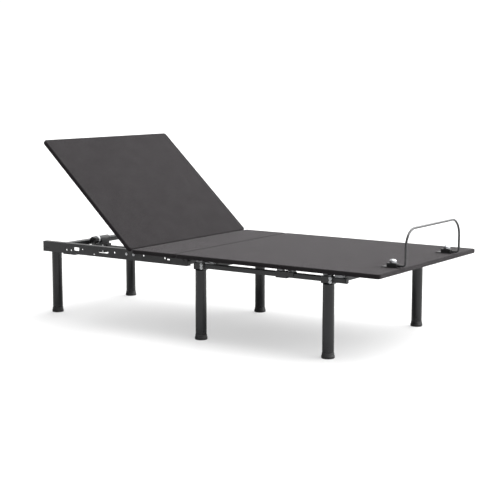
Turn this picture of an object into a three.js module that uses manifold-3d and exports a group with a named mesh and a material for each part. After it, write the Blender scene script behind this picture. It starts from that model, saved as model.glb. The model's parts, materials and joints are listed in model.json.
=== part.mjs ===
// Adjustable bed base, twin XL size: a steel frame in two halves on six round legs, three
// fabric-covered deck panels, and a head panel that an electric linear actuator raises.
//
// Millimetres. +X runs towards the foot end, +Y towards the far side, +Z up, floor at Z = 0.
// Along the bed, sizes are first written from the hinge line of the head panel; the whole
// group is then moved so that its origin is at the bottom centre of its box. The head panel
// is shown raised by restAngle.

import * as THREE from 'three';
import Module from 'manifold-3d';
import { mergeVertices } from 'three/addons/utils/BufferGeometryUtils.js';

const wasm = await Module();
wasm.setup();

// ---------------------------------------------------------------- driving dimensions
const deckWidth = 930;
const headLength = 722; // hinge line to the head edge of the head panel
const footReach = 1291; // hinge line to the foot edge of the leg panel
const seatLength = 257; // hinge line to the middle of the seat seam
const deckTop = 384;
const panelThickness = 20;
const panelCorner = 14;
const hingeGap = 12; // between the head panel and the seat panel
const seamGap = 3; // between the seat panel and the leg panel
const fit = 0.3; // clearance between pieces that touch
const restAngle = 42.8; // head panel in the drawn pose, degrees

const railInset = 110; // deck edge to the outer face of a head rail
const railHeight = 50;
const railFlange = 30;
const railWall = 3;
const railHeadReach = headLength - 71; // hinge line to the head end of the rails
const railFootReach = seatLength - 13; // hinge line to the foot end of the rails
const railDrop = 0.5; // deck underside to rail top

const legDiameter = 50;
const legWall = 1.5;
const legCapThickness = 3;
const headLegInset = 180; // deck edge to leg centre on the head half
const footLegInset = 56; // deck edge to leg centre on the foot half
const headLegX = 25 - railHeadReach;
const midFarLegX = railFootReach - 29;
const midNearLegX = seatLength + 106;
const footLegX = footReach - 267;
const bootDiameter = legDiameter + 7;
const bootHeight = 24;
const bootFloor = 4;
const bootWall = 3;

const beamWidth = 40; // cross beams of the head half
const beamHeight = 24;
const beamWall = 2;

const tubeWidth = 25; // side tubes and cross beams of the foot half
const tubeHeight = 22;
const tubeWall = 2;
const tubeDrop = 18; // deck underside to tube top
const saddleLength = 56;
const saddleWall = 4;
const tubeHeadReach = midNearLegX - saddleLength / 2;
const tubeFootReach = footLegX + 85;
const headCrossGap = 8; // foot half's cross beams to the leg saddles
const footCrossGap = 4;
const sleeveWall = 3; // sleeves that join the two lengths of each side tube
const sleeveFrom = footLegX - 254;
const sleeveStep = sleeveFrom + 57;
const sleeveTo = sleeveFrom + 90;

const joiningBarSpread = 200; // centre of the bed to each joining bar
const joiningBarWidth = 30;
const joiningBarHeight = 18;

const frameBarWidth = 25; // tubes of the head panel's own frame
const frameBarHeight = 20;
const frameBarWall = 2;
const frameBarReach = headLength - 48;
const frameBarFrom = 18; // hinge line to the near end of the head panel's side tubes
const upperCrossX = -headLength * 0.61;
const lowerCrossX = -62;

const hingePin = 6;
const hingeClearance = 0.3;
const hingeEye = 10.8;
const hingePlate = 4; // ears of the head frame
const hingeEarLap = 0.5; // how far an ear laps the side of its bar
const hingeBracketPlate = 9;

const tailX = headLegX + 5; // actuator tail pin
const tailZ = 297;
const leverRadius = 85; // hinge axis to rod pin
const leverUpright = 18; // head angle at which the lever hangs straight down, degrees
const leverPlate = 5;
const leverGap = 26;
const leverSlotPlay = 16; // how far the rod pin can move along the lever's slot
const leverSlotShift = 3.5; // middle of the slot below the rod pin's drawn place
const leverSlotWidth = 17;
const actuatorPin = 10;
const outerTubeDiameter = 32;
const rodDiameter = 20;
const rodShowing = 76; // end of the outer tube to the rod pin in the drawn pose
const rodLength = 180;
const rodEyeDiameter = 26;
const rodEyeWidth = 22;
const motorDiameter = 38;
const motorAlong = 43; // tail pin to the motor's axis, along the actuator
const motorAbove = 43.5; // tail pin to the motor's axis, across the actuator
const motorNearReach = 74;
const motorFarReach = 50;
const gearboxWidth = 56;

const retainerSpan = 516; // between the uprights of the mattress bar
const retainerHeight = 161; // deck top to the middle of the mattress bar's top
const retainerWire = 10;
const retainerCorner = 75;
const retainerBend = 12;
const retainerOverhang = 10; // the uprights stand this far past the foot edge of the deck
const clampFromUpright = 30;
const clampLength = 73;
const clampLip = 22; // plate showing on the head side of the block
const clampWidth = 34;
const clampBase = 3;
const clampBlockLength = 46;
const clampBlockHeight = 15;
const knobDiameter = 32;
const knobHeight = 17;

// ---------------------------------------------------------------- derived positions
const deckBottom = deckTop - panelThickness;
const halfWidth = deckWidth / 2;
const hingeZ = deckTop - panelThickness / 2;
const railTop = deckBottom - railDrop;
const railBottom = railTop - railHeight;
const railOuter = halfWidth - railInset;
const railInner = railOuter - railFlange;
const beamBottom = railBottom + railWall + fit;
const legTop = beamBottom - fit;
const headLegY = halfWidth - headLegInset;
const footLegY = halfWidth - footLegInset;
const tubeTop = deckBottom - tubeDrop;
const tubeBottom = tubeTop - tubeHeight;
const tubeInner = footLegY - tubeWidth / 2;
const leverRest = THREE.MathUtils.degToRad(restAngle - leverUpright);
const rodPinX = -leverRadius * Math.sin(leverRest);
const rodPinZ = hingeZ - leverRadius * Math.cos(leverRest);
const actuatorTilt = Math.atan2(rodPinZ - tailZ, rodPinX - tailX);
const rodPinAlong = Math.hypot(rodPinX - tailX, rodPinZ - tailZ);
const outerTubeEnd = rodPinAlong - rodShowing;
const bracketTo = railInner - fit; // hinge bracket, ear and bar, stacked inwards from the rail
const bracketFrom = bracketTo - hingeBracketPlate;
const earTo = bracketFrom - fit;
const earFrom = earTo - hingePlate;
const frameBarOuter = earFrom + hingeEarLap;
const frameBarSpread = frameBarOuter - frameBarWidth / 2;
const foldedX = -headLength * Math.cos(THREE.MathUtils.degToRad(restAngle));
const headEndX = Math.min(-railHeadReach, headLegX - bootDiameter / 2, foldedX);
const uprightX = footReach + retainerOverhang;
const originX = (headEndX + uprightX + retainerWire / 2) / 2;

// ---------------------------------------------------------------- materials
const finish = (color, roughness, metalness) =>
  new THREE.MeshStandardMaterial({ color, roughness, metalness });
const deckFabric = finish(0x5a5659, 0.85, 0);
const paintedSteel = finish(0x3f4043, 0.5, 0.5);
const legPaint = finish(0x4c4e52, 0.3, 0.6);
const blackPaint = finish(0x141416, 0.35, 0.4);
const blackPlastic = finish(0x1c1c1e, 0.55, 0);
const greyPlastic = finish(0x8d8f93, 0.5, 0);
const zinc = finish(0xb9bcc0, 0.3, 0.9);
const chrome = finish(0xd8dadd, 0.12, 1);
const wirePaint = finish(0x55575b, 0.3, 0.7);

// ---------------------------------------------------------------- solids and booleans
const toSolid = (geometry) => {
  const bare = new THREE.BufferGeometry();
  bare.setAttribute('position', geometry.getAttribute('position').clone());
  if (geometry.index) bare.setIndex(geometry.index.clone());
  const merged = mergeVertices(bare, 1e-4);
  return new wasm.Manifold(new wasm.Mesh({
    numProp: 3,
    vertProperties: new Float32Array(merged.getAttribute('position').array),
    triVerts: new Uint32Array(merged.index.array),
  }));
};

const toGeometry = (solid) => {
  const mesh = solid.getMesh();
  const geometry = new THREE.BufferGeometry();
  geometry.setAttribute('position', new THREE.BufferAttribute(mesh.vertProperties, 3));
  geometry.setIndex(new THREE.BufferAttribute(mesh.triVerts, 1));
  geometry.computeVertexNormals();
  return geometry;
};

const join = (...geometries) =>
  toGeometry(geometries.map(toSolid).reduce((whole, next) => whole.add(next)));

const cut = (base, ...tools) =>
  toGeometry(tools.map(toSolid).reduce((whole, next) => whole.subtract(next), toSolid(base)));

// a box from its two opposite corners
const block = (x0, x1, y0, y1, z0, z1) =>
  new THREE.BoxGeometry(x1 - x0, y1 - y0, z1 - z0)
    .translate((x0 + x1) / 2, (y0 + y1) / 2, (z0 + z1) / 2);

// a cylinder between two values along one axis
const rodAlong = (axis, radius, from, to, centre, sides = 20) => {
  const geometry = new THREE.CylinderGeometry(radius, radius, Math.abs(to - from), sides);
  const middle = (from + to) / 2;
  if (axis === 'x') return geometry.rotateZ(-Math.PI / 2).translate(middle, centre[0], centre[1]);
  if (axis === 'y') return geometry.translate(centre[0], middle, centre[1]);
  return geometry.rotateX(Math.PI / 2).translate(centre[0], centre[1], middle);
};

const roundedOutline = (width, height, radius) => {
  const shape = new THREE.Shape();
  const x = width / 2;
  const y = height / 2;
  shape.moveTo(-x + radius, -y);
  shape.lineTo(x - radius, -y);
  shape.absarc(x - radius, -y + radius, radius, -Math.PI / 2, 0);
  shape.lineTo(x, y - radius);
  shape.absarc(x - radius, y - radius, radius, 0, Math.PI / 2);
  shape.lineTo(-x + radius, y);
  shape.absarc(-x + radius, y - radius, radius, Math.PI / 2, Math.PI);
  shape.lineTo(-x, -y + radius);
  shape.absarc(-x + radius, -y + radius, radius, Math.PI, 1.5 * Math.PI);
  return shape;
};

const extrude = (shape, depth, curveSegments = 4) =>
  new THREE.ExtrudeGeometry(shape, { depth, bevelEnabled: false, curveSegments });

// a hollow rectangular tube; its length runs along x or y
const boxTube = (axis, from, to, across, z0, width, height, wall) => {
  const corner = wall * 1.5;
  const outline = roundedOutline(width, height, corner);
  outline.holes.push(roundedOutline(width - 2 * wall, height - 2 * wall, corner - wall));
  const geometry = extrude(outline, to - from, 3).rotateX(Math.PI / 2).rotateZ(Math.PI);
  if (axis === 'x') {
    return geometry.rotateZ(-Math.PI / 2).translate(from, across, z0 + height / 2);
  }
  return geometry.translate(across, from, z0 + height / 2);
};

// an outline in the X-Z plane given a thickness in Y
const plateXZ = (shape, y0, y1, curveSegments = 8) =>
  extrude(shape, Math.abs(y1 - y0), curveSegments)
    .rotateX(Math.PI / 2)
    .translate(0, Math.max(y0, y1), 0);

const polygon = (points) => new THREE.Shape(points.map(([x, z]) => new THREE.Vector2(x, z)));

// ---------------------------------------------------------------- assembly
const bed = new THREE.Group();
const model = new THREE.Group();
model.position.x = -originX;
bed.add(model);

const add = (name, geometry, material, parent = model) => {
  const mesh = new THREE.Mesh(geometry, material);
  mesh.name = name;
  parent.add(mesh);
  return mesh;
};

const sides = [
  { name: 'near', sign: -1 },
  { name: 'far', sign: 1 },
];

// span along Y on one side of the bed, ordered low to high
const span = (sign, a, b) => [Math.min(sign * a, sign * b), Math.max(sign * a, sign * b)];

// ---------------------------------------------------------------- deck panels
const deckPanel = (x0, x1, z0) =>
  extrude(roundedOutline(x1 - x0, deckWidth, panelCorner), panelThickness, 6)
    .translate((x0 + x1) / 2, 0, z0);

const seatFoot = seatLength - seamGap / 2;
const legHead = seatLength + seamGap / 2;
add('seat_panel', deckPanel(hingeGap / 2, seatFoot, deckBottom), deckFabric);
add('leg_panel', deckPanel(legHead, footReach, deckBottom), deckFabric);

// ---------------------------------------------------------------- head half of the frame
// holes through the web: centre along X, centre height over the rail's bottom, length, height
const railHoles = [
  [-494, 17.5, 8, 8],
  [-465, 17.5, 8, 8],
  [-492, 37.5, 6, 6],
  [-464, 37.5, 6, 6],
  [-429, 26, 33, 16],
  [-391, 27.5, 7, 7],
  [-317, 8.5, 8, 8],
  [-258, 28, 65, 16],
  [-188, 28.5, 9, 9],
  [-10, 28.5, 9, 9],
  [116, 26.5, 9, 9],
  [137, 22, 16, 6],
  [227, 27.5, 8, 8],
];

const roundEndedHole = (x, z, length, height, y0, y1) => {
  const radius = Math.min(height, length) / 2;
  const corner = length > 4 * height || length > 40 || length === height ? radius : radius * 0.4;
  const shape = roundedOutline(length + 0.02, height + 0.02, Math.min(corner, radius));
  return plateXZ(shape, y0, y1, 3).translate(x, 0, z);
};

const headRail = ({ sign }) => {
  const section = [
    block(-railHeadReach, railFootReach, ...span(sign, railOuter - railWall, railOuter),
      railBottom, railTop),
    block(-railHeadReach, railFootReach, ...span(sign, railInner, railOuter),
      railTop - railWall, railTop),
    block(-railHeadReach, railFootReach, ...span(sign, railInner, railOuter),
      railBottom, railBottom + railWall),
  ];
  const holes = railHoles.map(([x, height, length, tall]) =>
    roundEndedHole(x, railBottom + height, length, tall,
      ...span(sign, railOuter - railWall - 1, railOuter + 1)));
  return cut(join(...section), ...holes);
};
for (const side of sides) add(`head_rail_${side.name}`, headRail(side), paintedSteel);

const beamReach = railOuter - railWall - fit;
const crossBeam = (x) =>
  boxTube('y', -beamReach, beamReach, x, beamBottom, beamWidth, beamHeight, beamWall);
add('head_cross_beam', crossBeam(headLegX), paintedSteel);
add('mid_cross_beam', crossBeam(midFarLegX), paintedSteel);

// ---------------------------------------------------------------- foot half of the frame
const footTube = ({ sign }) =>
  boxTube('x', tubeHeadReach, tubeFootReach, sign * footLegY, tubeBottom, tubeWidth,
    tubeHeight, tubeWall);
for (const side of sides) add(`foot_tube_${side.name}`, footTube(side), paintedSteel);

const footCrossReach = tubeInner - fit;
const footCross = (x) =>
  boxTube('y', -footCrossReach, footCrossReach, x, tubeBottom, tubeWidth, tubeHeight, tubeWall);
const footCrossHeadX = tubeHeadReach + saddleLength + fit + tubeWidth / 2 + headCrossGap;
const footCrossFootX = footLegX + saddleLength / 2 + fit + tubeWidth / 2 + footCrossGap;
add('foot_cross_beam_head', footCross(footCrossHeadX), paintedSteel);
add('foot_cross_beam_foot', footCross(footCrossFootX), paintedSteel);

const joiningFrom = midFarLegX + beamWidth / 2 + fit;
const joiningTo = footCrossHeadX - tubeWidth / 2 - fit;
for (const { name, sign } of sides) {
  add(`joining_bar_${name}`, boxTube('x', joiningFrom, joiningTo, sign * joiningBarSpread,
    tubeBottom, joiningBarWidth, joiningBarHeight, tubeWall), blackPaint);
}

// a saddle that carries a side tube on top of a leg
const saddle = (x, sign) => {
  const inner = tubeWidth / 2 + fit;
  const outer = inner + saddleWall;
  const y = sign * footLegY;
  const from = x - saddleLength / 2;
  const to = x + saddleLength / 2;
  return cut(
    block(from, to, y - outer, y + outer, legTop + fit, tubeTop + 2),
    block(from - 1, to + 1, y - inner, y + inner, tubeBottom - fit, tubeTop + 3),
  );
};
add('leg_saddle_mid_near', saddle(midNearLegX, -1), blackPaint);
add('leg_saddle_foot_near', saddle(footLegX, -1), blackPaint);
add('leg_saddle_foot_far', saddle(footLegX, 1), blackPaint);

const tubeSleeve = ({ sign }) => {
  const inner = tubeWidth / 2 + fit;
  const outer = inner + sleeveWall;
  const y = sign * footLegY;
  const top = tubeTop + fit + sleeveWall;
  const body = join(
    block(sleeveFrom, sleeveStep, y - outer, y + outer, tubeBottom - fit - sleeveWall, top),
    block(sleeveStep - 1, sleeveTo, y - outer, y + outer, tubeBottom + tubeHeight / 3, top),
  );
  const channel = block(sleeveFrom - 1, sleeveTo + 1, y - inner, y + inner,
    tubeBottom - fit, tubeTop + fit);
  return cut(body, channel);
};
for (const side of sides) add(`tube_sleeve_${side.name}`, tubeSleeve(side), blackPaint);

// deck brackets: two pads on a tube, joined by a strip under the deck
const padWidth = 22;
const padStrip = 2;
const deckBracket = ({ start, first, second, foot }, sign) => {
  const firstPad = first.map((along) => start + along);
  const secondPad = second.map((along) => start + along);
  const y = [sign * footLegY - padWidth / 2, sign * footLegY + padWidth / 2];
  const top = deckBottom - fit;
  return join(
    block(firstPad[0], secondPad[1], ...y, top - padStrip, top),
    block(...firstPad, ...y, foot + fit, top),
    block(...secondPad, ...y, foot + fit, top),
  );
};
const sleeveTop = tubeTop + fit + sleeveWall;
// pads as lengths along X from a start that follows what they stand on
const bracketPads = [
  { name: 'head', start: tubeHeadReach, first: [10, 45], second: [58, 104], foot: tubeTop },
  { name: 'mid', start: sleeveFrom, first: [3, 31], second: [60, 88], foot: sleeveTop },
  { name: 'foot', start: footLegX, first: [-22, 18], second: [34, 72], foot: tubeTop },
];
for (const { name, sign } of sides) {
  for (const pads of bracketPads) {
    add(`deck_bracket_${pads.name}_${name}`, deckBracket(pads, sign), greyPlastic);
  }
}

// ---------------------------------------------------------------- legs and boots
const legPlaces = [
  ['head_near', headLegX, -headLegY],
  ['head_far', headLegX, headLegY],
  ['mid_near', midNearLegX, -footLegY],
  ['mid_far', midFarLegX, headLegY],
  ['foot_near', footLegX, -footLegY],
  ['foot_far', footLegX, footLegY],
];

const legProfile = () => {
  const outer = legDiameter / 2;
  const inner = outer - legWall;
  const foot = bootFloor + fit;
  return [
    [inner, foot],
    [outer, foot],
    [outer, legTop],
    [0, legTop],
    [0, legTop - legCapThickness],
    [inner, legTop - legCapThickness],
    [inner, foot],
  ];
};

const bootProfile = () => {
  const base = bootDiameter / 2;
  const bore = legDiameter / 2 + fit;
  const lip = bore + bootWall - 1;
  return [
    [0, 0],
    [base - 2, 0],
    [base, 2],
    [base, bootHeight * 0.45],
    [base - 1.2, bootHeight * 0.55],
    [lip, bootHeight - 1],
    [lip - 0.8, bootHeight],
    [bore, bootHeight],
    [bore, bootFloor],
    [0, bootFloor],
  ];
};

const turned = (profile, segments = 24) =>
  new THREE.LatheGeometry(profile.map(([r, z]) => new THREE.Vector2(r, z)), segments)
    .rotateX(Math.PI / 2);

for (const [name, x, y] of legPlaces) {
  add(`leg_${name}`, turned(legProfile()), legPaint).position.set(x, y, 0);
  add(`boot_${name}`, turned(bootProfile()), blackPlastic).position.set(x, y, 0);
}

// ---------------------------------------------------------------- hinge brackets and pins
const hingePinRadius = hingePin / 2;
const hingeHole = hingePinRadius + hingeClearance;

const hingeBracket = ({ sign }) => {
  const neck = hingeEye / 2 - 0.2;
  const foot = 22;
  const shoulder = deckBottom - 8;
  const plate = polygon([
    [-foot, beamBottom],
    [foot, beamBottom],
    [foot, shoulder - 12],
    [neck, shoulder],
    [neck, hingeZ],
    [-neck, hingeZ],
    [-neck, shoulder],
    [-foot, shoulder - 12],
  ]);
  const shelf = 4;
  return cut(
    join(
      plateXZ(plate, ...span(sign, bracketFrom, bracketTo)),
      rodAlong('y', hingeEye / 2, ...span(sign, bracketFrom, bracketTo), [0, hingeZ]),
      block(-foot, foot, ...span(sign, bracketFrom, railOuter - railWall - fit),
        beamBottom, beamBottom + shelf),
    ),
    rodAlong('y', hingeHole, ...span(sign, bracketFrom - 1, bracketTo + 1), [0, hingeZ]),
  );
};

const pinHead = 1.8;
const pinHeadRadius = 4.8;
const hingePinSolid = ({ sign }) =>
  join(
    rodAlong('y', hingePinRadius, ...span(sign, earFrom - fit - pinHead, bracketTo + fit + pinHead),
      [0, hingeZ]),
    rodAlong('y', pinHeadRadius, ...span(sign, earFrom - fit - pinHead, earFrom - fit), [0, hingeZ]),
    rodAlong('y', pinHeadRadius, ...span(sign, bracketTo + fit, bracketTo + fit + pinHead),
      [0, hingeZ]),
  );
for (const side of sides) {
  add(`hinge_bracket_${side.name}`, hingeBracket(side), blackPaint);
  add(`hinge_pin_${side.name}`, hingePinSolid(side), zinc);
}

// ---------------------------------------------------------------- raised head section
// drawn flat about the hinge axis, then turned up
const head = new THREE.Group();
head.position.z = hingeZ;
head.rotation.y = THREE.MathUtils.degToRad(restAngle);
model.add(head);

const underside = -panelThickness / 2;
const barTop = underside - fit;
const barBottom = barTop - frameBarHeight;
add('head_panel', deckPanel(-headLength, -hingeGap / 2, underside), deckFabric, head);

const headSideBar = ({ sign }) => {
  const neck = hingeEye / 2 - 0.2;
  const ear = polygon([
    [-neck, 0],
    [-neck, barTop],
    [-70, barTop],
    [-70, barBottom],
    [neck - 6, barBottom],
    [neck, barBottom + 6],
    [neck, 0],
  ].reverse());
  const barInner = sign * frameBarSpread;
  return cut(
    join(
      boxTube('x', -frameBarReach, -frameBarFrom, barInner, barBottom, frameBarWidth, frameBarHeight,
        frameBarWall),
      plateXZ(ear, ...span(sign, earFrom, earTo)),
      rodAlong('y', hingeEye / 2, ...span(sign, earFrom, earTo), [0, 0]),
    ),
    rodAlong('y', hingeHole, ...span(sign, earFrom - 1, earTo + 1), [0, 0]),
  );
};
for (const side of sides) {
  add(`head_frame_bar_${side.name}`, headSideBar(side), paintedSteel, head);
}

const headCrossReach = frameBarSpread - frameBarWidth / 2 - fit;
const headCross = (x) =>
  boxTube('y', -headCrossReach, headCrossReach, x, barBottom, frameBarWidth, frameBarHeight,
    frameBarWall);
add('head_frame_cross_upper', headCross(upperCrossX), paintedSteel, head);
add('head_frame_cross_lower', headCross(lowerCrossX), paintedSteel, head);

// lift lever: two plates under the lower cross bar with a slot for the rod pin
const leverTurn = THREE.MathUtils.degToRad(leverUpright);
const leverSlotRadius = leverRadius + leverSlotShift;
const leverPinX = leverSlotRadius * Math.sin(leverTurn);
const leverPinZ = -leverSlotRadius * Math.cos(leverTurn);
const leverEnd = leverSlotWidth / 2 + leverSlotPlay / 2 + 7;

const leverPlateShape = () => {
  const shape = new THREE.Shape();
  shape.moveTo(lowerCrossX - frameBarWidth / 2, barBottom - fit);
  shape.lineTo(leverPinX - leverEnd * 0.9, leverPinZ - leverEnd * 0.45);
  shape.absarc(leverPinX, leverPinZ, leverEnd, Math.PI * 1.15, Math.PI * 0.12, false);
  shape.lineTo(lowerCrossX + frameBarWidth / 2 + 14, barBottom - fit);
  return shape;
};

const leverSlot = (y0, y1) =>
  plateXZ(roundedOutline(leverSlotWidth, leverSlotWidth + leverSlotPlay, leverSlotWidth / 2 - 0.01),
    y0, y1, 10)
    .rotateY(-leverTurn)
    .translate(leverPinX, 0, leverPinZ);

const leverFoot = 4;
const leverReach = leverGap / 2 + leverPlate;
const liftLever = () =>
  cut(
    join(
      plateXZ(leverPlateShape(), leverGap / 2, leverReach),
      plateXZ(leverPlateShape(), -leverReach, -leverGap / 2),
      block(lowerCrossX - frameBarWidth / 2, lowerCrossX + frameBarWidth / 2,
        -leverReach, leverReach, barBottom - fit - leverFoot, barBottom - fit),
    ),
    leverSlot(-leverReach - 1, leverReach + 1),
  );
add('lift_lever', liftLever(), blackPaint, head);

// ---------------------------------------------------------------- actuator
const tailEyeRadius = 11;
const tailEarGap = 22;
const tailEarPlate = 4;
const tailBracket = () => {
  const ear = new THREE.Shape();
  const top = beamBottom - fit;
  ear.moveTo(tailX + 16, top);
  ear.lineTo(tailX - 16, top);
  ear.lineTo(tailX - tailEyeRadius, tailZ);
  ear.absarc(tailX, tailZ, tailEyeRadius, Math.PI, 2 * Math.PI, false);
  const outer = tailEarGap / 2 + tailEarPlate;
  const hole = actuatorPin / 2 + fit;
  return cut(
    join(
      plateXZ(ear, tailEarGap / 2, outer),
      plateXZ(ear, -outer, -tailEarGap / 2),
      block(tailX - 16, tailX + 16, -outer, outer, top - 3, top),
    ),
    rodAlong('y', hole, -outer - 1, outer + 1, [tailX, tailZ]),
  );
};
add('tail_bracket', tailBracket(), blackPaint);

const pinCollar = 2;
const crossPin = (reach) =>
  join(
    rodAlong('y', actuatorPin / 2, -reach - pinCollar, reach + pinCollar, [0, 0]),
    rodAlong('y', actuatorPin / 2 + 3, -reach - pinCollar, -reach, [0, 0]),
    rodAlong('y', actuatorPin / 2 + 3, reach, reach + pinCollar, [0, 0]),
  );
add('tail_pin', crossPin(tailEarGap / 2 + tailEarPlate + fit), zinc).position.set(tailX, 0, tailZ);

// everything below is drawn along +X from the tail pin, then tilted into place
const actuator = new THREE.Group();
actuator.position.set(tailX, 0, tailZ);
actuator.rotation.y = -actuatorTilt;
model.add(actuator);

const gearboxFrom = 26;
const gearboxTo = 82;
const motorSeat = motorDiameter / 2 + 3;
const gearbox = () => {
  const half = gearboxWidth / 2;
  const bore = motorDiameter / 2 + fit;
  const lug = tailEarGap / 2 - 1;
  return cut(
    join(
      block(gearboxFrom, gearboxTo, -half, half, -outerTubeDiameter / 2 - 6, outerTubeDiameter / 2 + 6),
      block(gearboxFrom, gearboxTo - 12, -half, half, 0, motorAbove),
      rodAlong('y', motorSeat, -half, half, [motorAlong, motorAbove - 3]),
      block(0, gearboxFrom + 2, -lug, lug, -8, 8),
      rodAlong('y', tailEyeRadius, -lug, lug, [0, 0]),
    ),
    rodAlong('y', actuatorPin / 2 + fit, -lug - 1, lug + 1, [0, 0]),
    rodAlong('y', bore, -half - 1, half + 1, [motorAlong, motorAbove]),
    rodAlong('x', rodDiameter / 2 + 0.5, gearboxTo - 10, gearboxTo + 1, [0, 0]),
  );
};
add('gearbox', gearbox(), blackPlastic, actuator);

const motor = () =>
  join(
    rodAlong('y', motorDiameter / 2, -motorNearReach + 4, motorFarReach, [motorAlong, motorAbove]),
    rodAlong('y', motorDiameter / 2 - 1.5, -motorNearReach, -motorNearReach + 5,
      [motorAlong, motorAbove]),
    rodAlong('y', 7, -motorNearReach - 3, -motorNearReach + 1, [motorAlong, motorAbove]),
  );
add('motor', motor(), blackPaint, actuator);

const outerTube = () => {
  const bore = rodDiameter / 2 + 0.5;
  const from = gearboxTo + fit;
  return cut(
    join(
      rodAlong('x', outerTubeDiameter / 2, from, outerTubeEnd, [0, 0], 24),
      rodAlong('x', outerTubeDiameter / 2 + 2, outerTubeEnd - 18, outerTubeEnd, [0, 0], 24),
    ),
    rodAlong('x', bore, from - 1, outerTubeEnd + 1, [0, 0], 24),
  );
};
add('outer_tube', outerTube(), blackPaint, actuator);

const pushRod = () => {
  const half = rodEyeWidth / 2;
  return cut(
    join(
      rodAlong('x', rodDiameter / 2, rodPinAlong - rodLength, rodPinAlong - 6, [0, 0]),
      rodAlong('y', rodEyeDiameter / 2, -half, half, [rodPinAlong, 0]),
    ),
    rodAlong('y', actuatorPin / 2 + fit, -half - 1, half + 1, [rodPinAlong, 0]),
  );
};
add('push_rod', pushRod(), zinc, actuator);
add('rod_pin', crossPin(leverReach + fit), zinc, actuator).position.x = rodPinAlong;

// ---------------------------------------------------------------- control box
const controlBoxFrom = midFarLegX - 138;
const controlBoxHalf = 62;
const controlBoxHeight = 30;
const socketDepth = 10;
const controlBox = () => {
  const to = midFarLegX - beamWidth / 2 - fit;
  const top = beamBottom + beamHeight;
  const middle = top - controlBoxHeight / 2;
  const socket = (x, length) =>
    block(x, x + length, -controlBoxHalf - 1, -controlBoxHalf + socketDepth, middle - 6, middle + 6);
  return cut(
    block(controlBoxFrom, to, -controlBoxHalf, controlBoxHalf, top - controlBoxHeight, top),
    socket(controlBoxFrom + 14, 20),
    socket(controlBoxFrom + 46, 14),
    socket(controlBoxFrom + 72, 14),
  );
};
add('control_box', controlBox(), blackPlastic);

// ---------------------------------------------------------------- mattress retainer bar
const wireRadius = retainerWire / 2;
const wireZ = deckTop + fit + clampBase + fit + wireRadius;
const clampFootX = uprightX - clampFromUpright;
const clampHeadX = clampFootX - clampLength;
const blockHeadX = clampHeadX + clampLip;
const wireStartX = blockHeadX + 4;
const retainerTop = deckTop + retainerHeight;

// a path of straight runs with a round corner at each inner point
const filletedPath = (points, radii) => {
  const path = new THREE.CurvePath();
  let from = points[0];
  for (let i = 1; i < points.length - 1; i += 1) {
    const corner = points[i];
    const back = points[i - 1].clone().sub(corner).normalize();
    const ahead = points[i + 1].clone().sub(corner).normalize();
    const enter = corner.clone().addScaledVector(back, radii[i - 1]);
    const leave = corner.clone().addScaledVector(ahead, radii[i - 1]);
    const pull = radii[i - 1] * (1 - 0.5523);
    path.add(new THREE.LineCurve3(from, enter));
    path.add(new THREE.CubicBezierCurve3(
      enter,
      corner.clone().addScaledVector(back, pull),
      corner.clone().addScaledVector(ahead, pull),
      leave,
    ));
    from = leave;
  }
  path.add(new THREE.LineCurve3(from, points[points.length - 1]));
  return path;
};

const retainerBar = () => {
  const half = retainerSpan / 2;
  const path = filletedPath([
    new THREE.Vector3(wireStartX, -half, wireZ),
    new THREE.Vector3(uprightX, -half, wireZ),
    new THREE.Vector3(uprightX, -half, retainerTop),
    new THREE.Vector3(uprightX, half, retainerTop),
    new THREE.Vector3(uprightX, half, wireZ),
    new THREE.Vector3(wireStartX, half, wireZ),
  ], [retainerBend, retainerCorner, retainerCorner, retainerBend]);
  const section = new THREE.Shape();
  section.absarc(0, 0, wireRadius, 0, 2 * Math.PI);
  return new THREE.ExtrudeGeometry(section, {
    steps: 84,
    curveSegments: 5,
    extrudePath: path,
    bevelEnabled: false,
  });
};
add('retainer_bar', retainerBar(), wirePaint);

const clampSolid = (y) => {
  const baseBottom = deckTop + fit;
  const blockHalf = clampWidth / 2 - 3;
  return cut(
    join(
      block(clampHeadX, clampFootX, y - clampWidth / 2, y + clampWidth / 2, baseBottom,
        baseBottom + clampBase),
      block(blockHeadX, blockHeadX + clampBlockLength, y - blockHalf, y + blockHalf, baseBottom,
        baseBottom + clampBase + clampBlockHeight),
    ),
    rodAlong('x', wireRadius + fit, wireStartX - fit, clampFootX + 1, [y, wireZ], 20),
  );
};

const knobProfile = () => {
  const radius = knobDiameter / 2;
  const rim = knobHeight * 0.35;
  const dome = [];
  for (let i = 0; i <= 5; i += 1) {
    const turn = (i / 5) * (Math.PI / 2);
    dome.push([radius * Math.cos(turn), rim + (knobHeight - rim) * Math.sin(turn)]);
  }
  dome[5][0] = 0;
  return [[0, 0], [radius - 1.5, 0], [radius, 1.5], ...dome];
};

for (const { name, sign } of sides) {
  const y = sign * retainerSpan / 2;
  const knobX = blockHeadX + clampBlockLength / 2;
  const knobZ = deckTop + fit + clampBase + clampBlockHeight + fit;
  add(`retainer_clamp_${name}`, clampSolid(y), blackPlastic);
  add(`retainer_knob_${name}`, turned(knobProfile()), chrome).position.set(knobX, y, knobZ);
}

export default bed;
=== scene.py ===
import json
import math

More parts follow.
